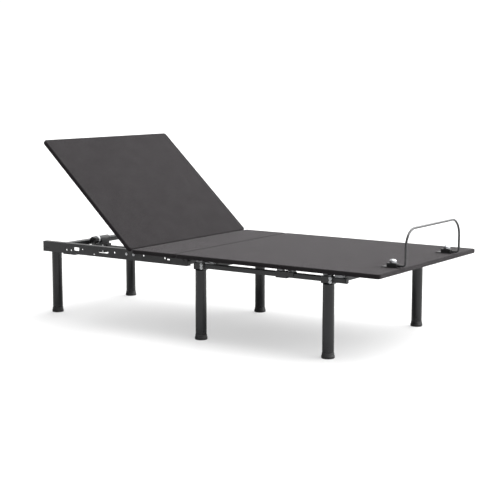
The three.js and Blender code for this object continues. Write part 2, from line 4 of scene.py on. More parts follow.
import bmesh
import bpy
import numpy as np
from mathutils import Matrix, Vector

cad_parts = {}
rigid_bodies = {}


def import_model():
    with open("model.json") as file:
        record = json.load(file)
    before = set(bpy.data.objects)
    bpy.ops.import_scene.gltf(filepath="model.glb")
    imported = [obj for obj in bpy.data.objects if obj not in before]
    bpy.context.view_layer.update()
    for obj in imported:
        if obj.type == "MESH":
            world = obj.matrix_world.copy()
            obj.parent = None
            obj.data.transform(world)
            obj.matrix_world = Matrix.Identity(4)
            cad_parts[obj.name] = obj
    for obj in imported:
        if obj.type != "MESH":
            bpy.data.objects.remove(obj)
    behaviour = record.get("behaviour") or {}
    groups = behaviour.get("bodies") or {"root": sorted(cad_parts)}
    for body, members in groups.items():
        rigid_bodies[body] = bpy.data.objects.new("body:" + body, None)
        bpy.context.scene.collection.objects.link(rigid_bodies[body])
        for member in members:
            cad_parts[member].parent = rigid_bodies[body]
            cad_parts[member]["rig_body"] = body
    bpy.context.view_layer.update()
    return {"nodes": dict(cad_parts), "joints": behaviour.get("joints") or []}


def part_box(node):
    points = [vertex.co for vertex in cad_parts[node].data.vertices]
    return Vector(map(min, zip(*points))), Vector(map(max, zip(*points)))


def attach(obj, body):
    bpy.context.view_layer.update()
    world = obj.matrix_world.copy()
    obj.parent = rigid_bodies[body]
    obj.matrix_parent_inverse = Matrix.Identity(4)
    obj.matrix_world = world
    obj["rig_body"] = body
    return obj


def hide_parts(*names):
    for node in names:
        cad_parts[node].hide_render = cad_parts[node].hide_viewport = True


bl_info = {
    "name": "Adjustable bed base",
    "version": (1, 0, 0),
    "blender": (4, 5, 0),
    "location": "View3D > Sidebar > Bed base",
    "description": "Covered deck, steel frame, legs, lift and mattress bar of an adjustable bed base",
    "category": "Add Mesh",
}

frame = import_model()

SIDES = {"near": -1, "far": 1}
LEGS = ("head_near", "head_far", "mid_near", "mid_far", "foot_near", "foot_far")
SADDLES = ("mid_near", "foot_near", "foot_far")


# ------------------------------------------------------------------ places taken from the frame
def corners(node):
    """Lowest and highest corner of a node at rest, as arrays."""
    low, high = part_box(node)
    return np.array(low), np.array(high)


def middle(node):
    """Middle of a node's box at rest."""
    low, high = corners(node)
    return (low + high) / 2


def joint(name):
    """The record's joint of that name."""
    return next(j for j in frame["joints"] if j["name"] == name)


HINGE = np.array(joint("head_lift")["pos_m"])
REST_ANGLE = -math.radians(joint("head_lift")["range_deg"][0])


# ------------------------------------------------------------------ sizes and colours
def length(name, description, usual, largest):
    """A length property in metres."""
    return bpy.props.FloatProperty(
        name=name, description=description, default=usual, min=0.0, max=largest, unit="LENGTH",
        precision=5)


class BedBaseSizes(bpy.types.PropertyGroup):
    """Sizes of the finish, in metres."""

    board_corner: length("Board corner", "Radius of a board's corners seen from above", 0.014, 0.05)
    board_edge: length("Board edge", "Radius of the cloth where it turns over an edge", 0.0055, 0.009)
    fold_width: length("Fold under", "Width of the cloth folded under a board", 0.045, 0.1)
    staple_inset: length("Staples", "Edge of the fold to the row of staples", 0.009, 0.02)
    ripple: length("Ripple", "Height of the slow waves in the stretched cloth", 0.00035, 0.002)
    thread: length("Thread", "Distance between threads of the cloth", 0.0016, 0.01)
    steel_edge: length("Steel edge", "Radius of the bent and cut edges of the steel", 0.0011, 0.003)
    plastic_edge: length("Plastic edge", "Radius of the edges of moulded pieces", 0.0015, 0.003)
    wire_radius: length("Bar radius", "Radius of the mattress bar's wire", 0.005, 0.01)
    wire_bend: length("Bar bend", "Radius of the wire's bend at each clamp", 0.012, 0.05)
    wire_corner: length("Bar corner", "Radius of the mattress bar's upper corners", 0.075, 0.1)
    round_sides: bpy.props.IntProperty(
        name="Round sides", description="Number of faces round a turned piece",
        default=72, min=16, max=200)


def paint(name, description, shade):
    """A colour property with its default given as red, green and blue."""
    return bpy.props.FloatVectorProperty(
        name=name, description=description, default=(*shade, 1.0), size=4, subtype="COLOR",
        min=0.0, max=1.0)


class BedBaseColours(bpy.types.PropertyGroup):
    """Colours of the finishes."""

    cloth: paint("Cloth", "Main colour of the deck cloth", (0.0085, 0.0074, 0.0080))
    cloth_light: paint("Cloth, light thread", "Colour of the lighter threads", (0.0165, 0.0145, 0.0156))
    felt: paint("Underside felt", "Colour of the felt under the boards", (0.018, 0.018, 0.019))
    steel_paint: paint("Steel paint", "Powder coat of the frame", (0.024, 0.0245, 0.026))
    leg_paint: paint("Leg paint", "Paint of the legs", (0.009, 0.0095, 0.0105))
    black_paint: paint("Black paint", "Gloss paint of saddles and brackets", (0.010, 0.010, 0.011))
    bare_steel: paint("Bare steel", "Steel where paint has worn off", (0.20, 0.20, 0.21))
    black_plastic: paint("Black plastic", "Boots, plugs and housings", (0.016, 0.016, 0.017))
    grey_plastic: paint("Grey plastic", "Deck brackets", (0.30, 0.305, 0.315))
    zinc: paint("Zinc", "Bolts, pins and push rod", (0.62, 0.63, 0.64))
    chrome: paint("Chrome", "Knobs", (0.50, 0.51, 0.53))
    wire: paint("Wire", "Mattress bar", (0.045, 0.045, 0.047))
    dust: paint("Dust", "Light dust on legs and boots", (0.30, 0.29, 0.28))
    floor: paint("Floor", "Floor of the studio", (0.45, 0.45, 0.45))


def sizes():
    return bpy.context.scene.bed_base_sizes


def colours():
    return bpy.context.scene.bed_base_colours


# ------------------------------------------------------------------ surfaces
def ring_faces(rings, around):
    """Quads between neighbouring closed rings: (i, j), (i, j + 1), (i + 1, j + 1), (i + 1, j)."""
    start = np.arange(rings - 1)[:, None] * around
    j = np.arange(around)[None, :]
    k = (j + 1) % around
    quads = [start + j, start + k, start + around + k, start + around + j]
    return np.stack(quads, axis=-1).reshape(-1, 4)


def closed_rings(rings):
    """A closed solid: rings joined by quads, and one face across each open end."""
    rings = np.asarray(rings, float)
    count, around = rings.shape[:2]
    faces = ring_faces(count, around).tolist()
    faces.append(np.arange(around)[::-1].tolist())
    faces.append((np.arange(around) + (count - 1) * around).tolist())
    return rings.reshape(-1, 3), faces


def joined(*parts):
    """Several solids as one list of points and faces."""
    points, faces, start = [], [], 0
    for own_points, own_faces in parts:
        points.append(own_points)
        faces += [[index + start for index in face] for face in own_faces]
        start += len(own_points)
    return np.concatenate(points), faces


def placed(part, centre, towards=(0, 0, 1)):
    """The part with its own Z turned to point towards a direction, then moved to centre."""
    z = np.asarray(towards, float) / np.linalg.norm(towards)
    guide = np.array([0.0, 1.0, 0.0]) if abs(z[1]) < 0.9 else np.array([1.0, 0.0, 0.0])
    x = np.cross(guide, z)
    x /= np.linalg.norm(x)
    turn = np.stack([x, np.cross(z, x), z])
    return part[0] @ turn + np.asarray(centre, float), part[1]


def turned(profile, lobes=0, depth=0.0):
    """Point = (r cos a, r sin a, h) for each (r, h) of the profile and angle a.

    With lobes, r shrinks by depth of itself between the lobes, on the rows marked by a third value."""
    rows = np.array([(*row, 0.0)[:3] for row in profile], float)
    a = np.linspace(0, 2 * math.pi, max(sizes().round_sides, lobes * 8), endpoint=False)
    shrink = 1 - depth * rows[:, 2:3] * (0.5 - 0.5 * np.cos(lobes * a)) ** 2
    r = rows[:, :1] * shrink
    h = np.broadcast_to(rows[:, 1:2], r.shape)
    return closed_rings(np.stack([r * np.cos(a), r * np.sin(a), h], axis=-1))


def rounded_rod(radius, low, high, edge=0.0008):
    """Profile of a plain rod with a rounded edge at both ends."""
    t = np.linspace(0, math.pi / 2, 4)
    lower = np.stack([radius - edge + edge * np.sin(t), low + edge - edge * np.cos(t)], -1)
    upper = np.stack([radius - edge + edge * np.cos(t), high - edge + edge * np.sin(t)], -1)
    return [tuple(row) for row in np.concatenate([lower, upper])]


def soft_block(low, high, corner=0.003, edge=0.001, steps=4):
    """A block with round corners and edges.

    Ring = rounded rectangle drawn in by edge (1 - sin t) at height edge (1 - cos t) from each end."""
    low, high = np.asarray(low, float), np.asarray(high, float)
    half, centre = (high - low) / 2, (high + low) / 2
    t = np.linspace(0, math.pi / 2, steps)
    inset = np.concatenate([edge * (1 - np.sin(t)), edge * (1 - np.cos(t))])[:, None]
    height = np.concatenate([-half[2] + edge * (1 - np.cos(t)), half[2] - edge * (1 - np.sin(t))])
    radius = np.maximum(corner - inset, 1e-4)
    quarter = np.repeat(np.arange(4), steps + 1)
    a = quarter * math.pi / 2 + np.tile(np.linspace(0, math.pi / 2, steps + 1), 4)
    x = np.array([1, -1, -1, 1])[quarter] * (half[0] - inset - radius) + radius * np.cos(a)
    y = np.array([1, 1, -1, -1])[quarter] * (half[1] - inset - radius) + radius * np.sin(a)
    z = np.broadcast_to(height[:, None], x.shape)
    return closed_rings(np.stack([x, y, z], axis=-1) + centre)


def filleted(points, radii, steps=6, closed=True):
    """Each corner gives way to a near circular arc.

    The arc is a cubic from one radius before the corner to one radius after it, with its handles
    0.5523 of the way to the corner."""
    corner = np.asarray(points, float)
    before = np.roll(corner, 1, axis=0) - corner
    after = np.roll(corner, -1, axis=0) - corner
    before /= np.linalg.norm(before, axis=1, keepdims=True)
    after /= np.linalg.norm(after, axis=1, keepdims=True)
    reach = np.broadcast_to(radii, (len(corner),))[:, None]
    first, last = corner + before * reach, corner + after * reach
    pulls = [first, first + (corner - first) * 0.5523, last + (corner - last) * 0.5523, last]
    a, b, c, d = (pull[:, None] for pull in pulls)
    t = np.linspace(0, 1, steps + 1)[None, :, None]
    arcs = (1 - t) ** 3 * a + 3 * (1 - t) ** 2 * t * b + 3 * (1 - t) * t ** 2 * c + t ** 3 * d
    if closed:
        return arcs.reshape(-1, corner.shape[1])
    inner = arcs[1:-1].reshape(-1, corner.shape[1])
    return np.concatenate([corner[:1], inner, corner[-1:]])


def carried(section, path, guide):
    """A section carried along a path: point = station + side u + up v.

    Side is guide x tangent and up is tangent x side, both of length one."""
    path = np.asarray(path, float)
    tangent = np.gradient(path, axis=0)
    tangent /= np.linalg.norm(tangent, axis=1, keepdims=True)
    side = np.cross(guide, tangent)
    side /= np.linalg.norm(side, axis=1, keepdims=True)
    up = np.cross(tangent, side)
    u, v = np.asarray(section, float).T
    return closed_rings(path[:, None] + side[:, None] * u[:, None] + up[:, None] * v[:, None])


def circle(radius, steps=24):
    """Outline of a round section."""
    a = np.linspace(0, 2 * math.pi, steps, endpoint=False)
    return np.stack([radius * np.cos(a), radius * np.sin(a)], axis=-1)


def set_out(mesh, look, body, replaces, sharp=40):
    """Gives a mesh its object, shading, finish and body."""
    piece = bpy.data.objects.new(mesh.name, mesh)
    bpy.context.scene.collection.objects.link(piece)
    mesh.shade_smooth()
    mesh.set_sharp_from_angle(angle=math.radians(sharp))
    weighted = piece.modifiers.new("Weighted normals", "WEIGHTED_NORMAL")
    weighted.keep_sharp = True
    mesh.materials.append(finish(look))
    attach(piece, body)
    if replaces:
        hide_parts(*replaces)


def make_piece(name, part, look, body, replaces=(), sharp=40):
    """Puts points and faces in a mesh and sets it out."""
    mesh = bpy.data.meshes.new(name)
    mesh.from_pydata(part[0], [], part[1])
    mesh.validate()
    set_out(mesh, look, body, replaces, sharp)


def eased_piece(node, look, edge):
    """A copy of a node with its flat faces joined up and its sharp edges rounded.

    The attribute worn_edge is one along the middle of each rounded edge and none elsewhere."""
    source = frame["nodes"][node]
    shape = bmesh.new()
    shape.from_mesh(source.data)
    bmesh.ops.remove_doubles(shape, verts=shape.verts, dist=1e-5)
    bmesh.ops.dissolve_limit(
        shape, angle_limit=math.radians(0.5), verts=shape.verts, edges=shape.edges)
    worn = shape.verts.layers.float.new("worn_edge")
    sharp = [e for e in shape.edges if e.is_manifold and e.calc_face_angle() > math.radians(38)]
    made = bmesh.ops.bevel(
        shape, geom=sharp, offset=edge, offset_type="OFFSET", segments=2, profile=0.5,
        affect="EDGES", clamp_overlap=True)
    rounded = set(made["faces"])
    for point in made["verts"]:
        point[worn] = float(all(face in rounded for face in point.link_faces))
    mesh = bpy.data.meshes.new(f"{node}_finished")
    shape.to_mesh(mesh)
    shape.free()
    set_out(mesh, look, source["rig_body"], [node])


# ------------------------------------------------------------------ shader nodes
def shader_node(tree, kind, inputs=None, **settings):
    """Adds one node. An input given as a socket is linked, and any other value is set."""
    made = tree.nodes.new("ShaderNode" + kind)
    for key, value in settings.items():
        setattr(made, key, value)
    for key, value in (inputs or {}).items():
        if isinstance(value, bpy.types.NodeSocket):
            tree.links.new(value, made.inputs[key])
        else:
            made.inputs[key].default_value = value
    return made


def calc(tree, operation, first, second=0.0, third=0.0):
    """One step of arithmetic."""
    made = shader_node(tree, "Math", {0: first, 1: second, 2: third}, operation=operation)
    return made.outputs[0]


def blend_colours(tree, factor, first, second):
    """The first colour where the factor is 0 and the second where it is 1."""
    made = shader_node(
        tree, "Mix", {"Factor": factor, 6: first, 7: second}, data_type="RGBA", clamp_factor=True)
    return made.outputs[2]


def shaded(tree, colour, tone):
    """The colour made darker or lighter by a tone."""
    return shader_node(tree, "Mix", {"Factor": 1.0, 6: colour, 7: tone}, data_type="RGBA",
                       blend_type="MULTIPLY").outputs[2]


def effect_group(name, inputs, outputs):
    """A new node group with named inputs and outputs, and its two end nodes."""
    tree = bpy.data.node_groups.new(name, "ShaderNodeTree")
    for label, kind, value in inputs:
        made = tree.interface.new_socket(label, in_out="INPUT", socket_type=kind)
        if value is not None:
            made.default_value = value
    for label in outputs:
        tree.interface.new_socket(label, in_out="OUTPUT", socket_type="NodeSocketFloat")
    return tree, tree.nodes.new("NodeGroupInput").outputs, tree.nodes.new("NodeGroupOutput").inputs


VECTOR, NUMBER = "NodeSocketVector", "NodeSocketFloat"


def woven_effect():
    """Plain weave: two sets of round threads, |sin pi u| and |sin pi v|, that take turns on top
    in a checker, with slubs that run along whichever thread is on top."""
    tree, given, result = effect_group(
        "Plain weave", [("Place", VECTOR, None), ("Thread", NUMBER, 0.0016)], ["Height", "Slub"])
    count = calc(tree, "DIVIDE", 1.0, given["Thread"])
    scaled = shader_node(tree, "VectorMath", {0: given["Place"], "Scale": count}, operation="SCALE")
    place = shader_node(tree, "SeparateXYZ", {0: scaled.outputs[0]}).outputs
    warp = calc(tree, "SINE", calc(tree, "MULTIPLY", place["X"], math.pi))
    weft = calc(tree, "SINE", calc(tree, "MULTIPLY", place["Y"], math.pi))
    turn = calc(tree, "GREATER_THAN", calc(tree, "MULTIPLY", warp, weft), 0.0)
    other = calc(tree, "SUBTRACT", 1.0, turn)
    warp_top = calc(tree, "MULTIPLY", calc(tree, "ABSOLUTE", warp), turn)
    weft_top = calc(tree, "MULTIPLY", calc(tree, "ABSOLUTE", weft), other)
    tree.links.new(calc(tree, "ADD", warp_top, weft_top), result["Height"])
    slubs = []
    for stretch, share in (((0.9, 0.06, 1.0), turn), ((0.06, 0.9, 1.0), other)):
        along = shader_node(
            tree, "VectorMath", {0: scaled.outputs[0], 1: stretch}, operation="MULTIPLY")
        noise = shader_node(tree, "TexNoise", {"Vector": along.outputs[0], "Scale": 1.0, "Detail": 2.0})
        slubs.append(calc(tree, "MULTIPLY", noise.outputs[0], share))
    tree.links.new(calc(tree, "ADD", *slubs), result["Slub"])
    return tree


def mottle_effect():
    """Slow cloudy change over a surface, from Low to High."""
    tree, given, result = effect_group(
        "Mottle",
        [("Place", VECTOR, None), ("Scale", NUMBER, 10.0), ("Low", NUMBER, 0.0), ("High", NUMBER, 1.0)],
        ["Value"])
    noise = shader_node(
        tree, "TexNoise", {"Vector": given["Place"], "Scale": given["Scale"], "Detail": 4.0})
    spread = shader_node(tree, "MapRange", {
        "Value": noise.outputs[0], "From Min": 0.3, "From Max": 0.7,
        "To Min": given["Low"], "To Max": given["High"]})
    tree.links.new(spread.outputs[0], result["Value"])
    return tree


def grain_effect():
    """Fine grain of a powder coat or a moulded skin: fine noise with a little coarser noise."""
    tree, given, result = effect_group(
        "Grain", [("Place", VECTOR, None), ("Size", NUMBER, 0.001)], ["Height"])
    scale = calc(tree, "DIVIDE", 1.0, given["Size"])
    fine = shader_node(tree, "TexNoise", {"Vector": given["Place"], "Scale": scale, "Detail": 1.0})
    coarse = shader_node(tree, "TexVoronoi", {
        "Vector": given["Place"], "Scale": calc(tree, "MULTIPLY", scale, 0.45)},
        feature="SMOOTH_F1")
    both = calc(tree, "MULTIPLY_ADD", coarse.outputs["Distance"], 0.5, fine.outputs[0])
    tree.links.new(both, result["Height"])
    return tree


def wear_effect():
    """Where paint is rubbed: edges, broken up by noise, and a few long fine scratches."""
    tree, given, result = effect_group(
        "Wear",
        [("Place", VECTOR, None), ("Edge", NUMBER, 0.0), ("Amount", NUMBER, 0.5)], ["Mask"])
    patches = shader_node(tree, "TexNoise", {"Vector": given["Place"], "Scale": 42.0, "Detail": 5.0})
    rubbed = shader_node(tree, "MapRange", {
        "Value": patches.outputs[0], "From Min": 0.46, "From Max": 0.66})
    edges = calc(tree, "MULTIPLY", rubbed.outputs[0], given["Edge"])
    drawn = shader_node(
        tree, "VectorMath", {0: given["Place"], 1: (14.0, 260.0, 300.0)}, operation="MULTIPLY")
    lines = shader_node(tree, "TexNoise", {"Vector": drawn.outputs[0], "Scale": 1.0, "Detail": 2.0})
    scratches = shader_node(tree, "MapRange", {
        "Value": lines.outputs[0], "From Min": 0.71, "From Max": 0.78, "To Max": 0.35})
    worn = calc(tree, "MAXIMUM", edges, scratches.outputs[0])
    tree.links.new(calc(tree, "MULTIPLY", worn, given["Amount"]), result["Mask"])
    return tree


def dust_effect():
    """Dust that thins out with height above the floor, broken up by noise."""
    tree, given, result = effect_group(
        "Floor dust",
        [("Place", VECTOR, None), ("Reach", NUMBER, 0.08), ("Amount", NUMBER, 0.4)], ["Mask"])
    height = shader_node(tree, "SeparateXYZ", {0: given["Place"]}).outputs["Z"]
    fade = shader_node(tree, "MapRange", {
        "Value": calc(tree, "DIVIDE", height, given["Reach"]), "To Min": 1.0, "To Max": 0.0},
        interpolation_type="SMOOTHSTEP")
    noise = shader_node(tree, "TexNoise", {"Vector": given["Place"], "Scale": 55.0, "Detail": 5.0})
    speckle = shader_node(tree, "MapRange", {
        "Value": noise.outputs[0], "From Min": 0.4, "From Max": 0.75})
    mask = calc(tree, "MULTIPLY", fade.outputs[0], speckle.outputs[0])
    tree.links.new(calc(tree, "MULTIPLY", mask, given["Amount"]), result["Mask"])
    return tree


EFFECTS = {"weave": woven_effect, "mottle": mottle_effect, "grain": grain_effect,
           "wear": wear_effect, "dust": dust_effect}
made_effects = {}
made_materials = {}


def effect(tree, kind, **inputs):
    """One of the shared effects placed in a material with its own values."""
    if kind not in made_effects:
        made_effects[kind] = EFFECTS[kind]()
    made = shader_node(tree, "Group")
    made.node_tree = made_effects[kind]
    for key, value in inputs.items():
        socket = made.inputs[key.capitalize()]
        if isinstance(value, bpy.types.NodeSocket):
            tree.links.new(value, socket)
        else:
            socket.default_value = value
    return made.outputs


def new_material(name):
    """An empty material with its Principled shader and the place of each point on the object."""
    material = bpy.data.materials.new(name)
    material.use_nodes = True
    tree = material.node_tree
    shader = tree.nodes["Principled BSDF"]
    place = shader_node(tree, "TexCoord").outputs["Object"]
    return material, tree, shader, place


def set_bump(tree, shader, height, distance, strength=1.0):
    """Feeds a height to the shader's normal."""
    bump = shader_node(tree, "Bump", {"Height": height, "Distance": distance, "Strength": strength})
    tree.links.new(bump.outputs[0], shader.inputs["Normal"])


def coated_finish(name, colour, roughness, grain=0.0009, relief=0.00003, wear=0.5, dust=0.0,
                  spread=0.08, **constants):
    """Paint or plastic: grain, cloudy roughness, rubbed edges and, near the floor, dust."""
    material, tree, shader, place = new_material(name)
    tone = effect(tree, "mottle", place=place, scale=9.0, low=0.86, high=1.12)["Value"]
    toned = shaded(tree, colour, tone)
    rough = effect(tree, "mottle", place=place, scale=27.0, low=roughness - spread / 2,
                   high=roughness + spread)["Value"]
    if wear:
        edge = shader_node(tree, "Attribute", attribute_name="worn_edge").outputs["Fac"]
        mask = effect(tree, "wear", place=place, edge=edge, amount=wear)["Mask"]
        toned = blend_colours(tree, mask, toned, tuple(colours().bare_steel))
        rough = calc(tree, "MULTIPLY_ADD", mask, -0.1, rough)
    if dust:
        veil = effect(tree, "dust", place=place, reach=0.09, amount=dust)["Mask"]
        toned = blend_colours(tree, veil, toned, tuple(colours().dust))
        rough = calc(tree, "MULTIPLY_ADD", veil, 0.5, rough)
    tree.links.new(toned, shader.inputs["Base Color"])
    tree.links.new(rough, shader.inputs["Roughness"])
    set_bump(tree, shader, effect(tree, "grain", place=place, size=grain)["Height"], relief)
    for key, value in constants.items():
        shader.inputs[key.replace("_", " ")].default_value = value
    return material


def metal_finish(name, colour, roughness, brush=(30.0, 30.0, 900.0), streak=0.1):
    """Bare or plated metal: fine drawn lines in its roughness and a faint cloud in its colour."""
    material, tree, shader, place = new_material(name)
    cloud = effect(tree, "mottle", place=place, scale=60.0, low=0.84, high=1.05)["Value"]
    toned = shaded(tree, colour, cloud)
    drawn = shader_node(tree, "VectorMath", {0: place, 1: brush}, operation="MULTIPLY").outputs[0]
    lines = shader_node(tree, "TexNoise", {"Vector": drawn, "Scale": 1.0, "Detail": 3.0}).outputs[0]
    rough = calc(tree, "MULTIPLY_ADD", lines, streak, roughness - streak / 2)
    tree.links.new(toned, shader.inputs["Base Color"])
    tree.links.new(rough, shader.inputs["Roughness"])
    shader.inputs["Metallic"].default_value = 1.0
    set_bump(tree, shader, lines, 0.00001)
    return material


def cloth_finish():
    """Woven cover, folded under the board round a felt panel and held by a row of staples."""
    material, tree, shader, place = new_material("Deck cloth")
    look, cut = colours(), sizes()
    unrolled = shader_node(tree, "UVMap", uv_map="cloth").outputs[0]
    weave = effect(tree, "weave", place=unrolled, thread=cut.thread)
    cloud = effect(tree, "mottle", place=unrolled, scale=5.0, low=0.0, high=0.32)["Value"]
    fleck = effect(tree, "mottle", place=unrolled, scale=420.0, low=0.0, high=0.45)["Value"]
    light = calc(tree, "MULTIPLY_ADD", weave["Slub"], 0.5, calc(tree, "ADD", cloud, fleck))
    cover = blend_colours(tree, light, tuple(look.cloth), tuple(look.cloth_light))

    under = shader_node(tree, "Attribute", attribute_name="underside").outputs["Fac"]
    inset = shader_node(tree, "Attribute", attribute_name="edge_inset").outputs["Fac"]
    run = shader_node(tree, "Attribute", attribute_name="edge_run").outputs["Fac"]
    past_fold = calc(tree, "GREATER_THAN", inset, cut.fold_width)
    below = calc(tree, "GREATER_THAN", under, 0.5)
    felt = calc(tree, "MULTIPLY", below, past_fold)
    fibre = effect(tree, "mottle", place=unrolled, scale=900.0, low=0.0, high=1.0)["Value"]
    felt_tone = blend_colours(tree, fibre, tuple(look.felt), (0.045, 0.045, 0.047, 1.0))
    near_line = calc(tree, "LESS_THAN", calc(
        tree, "ABSOLUTE", calc(tree, "SUBTRACT", inset, cut.fold_width - cut.staple_inset)), 0.0007)
    step = calc(tree, "FRACT", calc(tree, "DIVIDE", run, 0.055))
    staple_row = calc(tree, "MULTIPLY", near_line, calc(tree, "LESS_THAN", step, 0.2))
    staple = calc(tree, "MULTIPLY", staple_row, below)
    colour = blend_colours(tree, felt, cover, felt_tone)
    colour = blend_colours(tree, staple, colour, (0.5, 0.5, 0.52, 1.0))
    tree.links.new(colour, shader.inputs["Base Color"])

    rough = effect(tree, "mottle", place=unrolled, scale=14.0, low=0.78, high=0.92)["Value"]
    rough = calc(tree, "MULTIPLY_ADD", staple, -0.5, rough)
    tree.links.new(rough, shader.inputs["Roughness"])
    tree.links.new(staple, shader.inputs["Metallic"])
    threads = calc(tree, "MULTIPLY", weave["Height"], calc(tree, "SUBTRACT", 1.0, felt))
    height = calc(tree, "MULTIPLY_ADD", fibre, calc(tree, "MULTIPLY", felt, 0.6), threads)
    height = calc(tree, "MULTIPLY_ADD", staple, 3.0, height)
    height = calc(tree, "MULTIPLY_ADD", felt, -2.0, height)
    set_bump(tree, shader, height, 0.00022)
    shader.inputs["Sheen Weight"].default_value = 0.15
    shader.inputs["Sheen Roughness"].default_value = 0.45
    shader.inputs["Sheen Tint"].default_value = (0.97, 0.92, 0.95, 1.0)
    shader.inputs["Specular IOR Level"].default_value = 0.08
    return material


def finish(name):
    """The finish of that name, made when it is first asked for."""
    if name not in made_materials:
        look = colours()
        made_materials[name] = {
            "cloth": lambda: cloth_finish(),
            "steel": lambda: coated_finish(
                "Charcoal powder coat", look.steel_paint, 0.38, wear=0.2),
            "leg": lambda: coated_finish(
                "Graphite leg paint", look.leg_paint, 0.24, grain=0.0013, relief=0.00002,
                wear=0.0, dust=0.05, spread=0.03, Coat_Weight=0.3, Coat_Roughness=0.07,
                Specular_IOR_Level=0.35),
            "black": lambda: coated_finish(
                "Black gloss paint", look.black_paint, 0.22, relief=0.000015, wear=0.4,
                spread=0.05),
            "boot": lambda: coated_finish(
                "Moulded boot", look.black_plastic, 0.5, grain=0.0007, relief=0.00005, wear=0.0,
                dust=0.08),
            "plastic": lambda: coated_finish(
                "Moulded black plastic", look.black_plastic, 0.42, grain=0.0006, relief=0.00005,
                wear=0.0),
            "grey": lambda: coated_finish(
                "Moulded grey plastic", look.grey_plastic, 0.45, grain=0.0006, relief=0.00004,
                wear=0.0),
            "motor": lambda: coated_finish(
                "Motor can", look.black_paint, 0.34, relief=0.00002, wear=0.3),
            "zinc": lambda: metal_finish("Zinc plate", look.zinc, 0.3),
            "rod": lambda: metal_finish("Polished rod", look.zinc, 0.2, (900.0, 30.0, 30.0)),
            "chrome": lambda: metal_finish("Chrome", look.chrome, 0.09, (200.0, 200.0, 200.0), 0.04),
            "wire": lambda: coated_finish(
                "Bar paint", look.wire, 0.27, relief=0.00001, wear=0.0, spread=0.05,
                Metallic=0.4, Coat_Weight=0.3, Coat_Roughness=0.1),
        }[name]()
    return made_materials[name]


# ------------------------------------------------------------------ deck boards
UNDER_SHIFT = 3.0  # keeps the cloth coordinates of the underside clear of the top's
CALM_REACH = 0.16  # width of the border in which the waves fade out towards an edge
DEEP_INSET = 0.2  # edge inset given to everything inside the border


def board_outline(half_x, half_y, corner, spacing=0.012):
    """The way round a board: a centre that runs round the rectangle of corner centres, and the
    direction in which the corner radius pushes it out."""
    ends = np.array([[1, 1], [-1, 1], [-1, -1], [1, -1]]) * [half_x - corner, half_y - corner]
    turn = np.linspace(0, 1, 7)
    centres, angles = [], []
    for quarter in range(4):
        start, stop = ends[quarter], ends[(quarter + 1) % 4]
        steps = int(np.linalg.norm(stop - start) / spacing)
        along = np.linspace(0, 1, steps + 2)[1:-1, None]
        centres += [np.repeat(start[None], len(turn), axis=0), start + (stop - start) * along]
        angles += [quarter + turn, np.full(steps, quarter + 1.0)]
    a = np.concatenate(angles) * math.pi / 2
    return np.concatenate(centres), np.stack([np.cos(a), np.sin(a)], axis=-1)


def cloth_ripple(x, y, seed):
    """Sum of slow waves in fixed random directions, between about -1 and 1."""
    draw = np.random.default_rng(seed)
    heading = draw.uniform(0, math.pi, 9)
    count = 2 * math.pi / draw.uniform(0.07, 0.32, 9)
    phase = draw.uniform(0, 2 * math.pi, 9)
    crossed = x[..., None] * np.cos(heading) + y[..., None] * np.sin(heading)
    return np.sin(crossed * count + phase).mean(axis=-1) * 1.8


def covered_board(length, width, thick, seed):
    """Points, faces and cloth coordinates of one covered board, flat and centred on the origin.

    The rings run from the middle of the underside out to the edge, up the side and back to the
    middle of the top. Within the border a ring is the outline drawn in by its inset; nearer the
    middle it is the border's inner ring scaled down."""
    cut = sizes()
    edge, corner = cut.board_edge, cut.board_corner
    half_x, half_y, half_z = length / 2, width / 2, thick / 2
    centres, push = board_outline(half_x, half_y, corner)
    border = cut.fold_width + 0.015
    near_corner = corner - 0.002

    shares = np.linspace(0.03, 0.96, 34)
    insets = np.unique(np.round(np.concatenate([
        np.linspace(border, near_corner, 9), [cut.fold_width - cut.staple_inset, cut.fold_width],
        np.linspace(near_corner, edge, 4)]), 5))[::-1]
    t = np.linspace(0, math.pi / 2, 6)[1:]
    skin_share = np.concatenate([shares, np.ones(len(insets) + len(t))])
    skin_inset = np.concatenate([np.full(len(shares), border), insets, edge * (1 - np.sin(t))])
    skin_drop = np.concatenate([np.zeros(len(shares) + len(insets)), edge * (1 - np.cos(t))])
    bend = np.concatenate([np.zeros(len(shares) + len(insets)), edge * t])

    close = np.minimum(skin_inset, near_corner)[:, None, None]
    flat = centres + push * (corner - close)
    shrink = (np.array([half_x, half_y]) - skin_inset[:, None]) / (
        np.array([half_x, half_y]) - close[:, :, 0])
    flat = flat * (shrink * skin_share[:, None])[:, None]

    from_edge = np.minimum(half_x - np.abs(flat[..., 0]), half_y - np.abs(flat[..., 1]))
    calm = np.clip((from_edge - edge) / CALM_REACH, 0, 1)
    calm = calm * calm * (3 - 2 * calm)
    top_wave = cloth_ripple(flat[..., 0], flat[..., 1], seed) * cut.ripple * calm
    top = half_z - skin_drop[:, None] - cut.ripple * calm + top_wave
    low = -half_z + skin_drop[:, None]

    rings = np.concatenate([
        np.dstack([flat, np.broadcast_to(low, flat.shape[:2])]),
        np.dstack([flat, top])[::-1]])
    reach = np.maximum(bend, 0)[:, None, None]
    spread = np.where(bend[:, None, None] > 0, centres + push * (corner - edge + reach), flat)
    cloth = np.concatenate([spread + [UNDER_SHIFT, 0.0], spread[::-1]])
    side_start = len(flat)
    inset = np.where(skin_share < 1, DEEP_INSET, skin_inset)
    inset = np.concatenate([inset, inset[::-1]])
    under = np.concatenate([np.ones(side_start), np.zeros(side_start)])
    return rings, cloth, inset, under, side_start


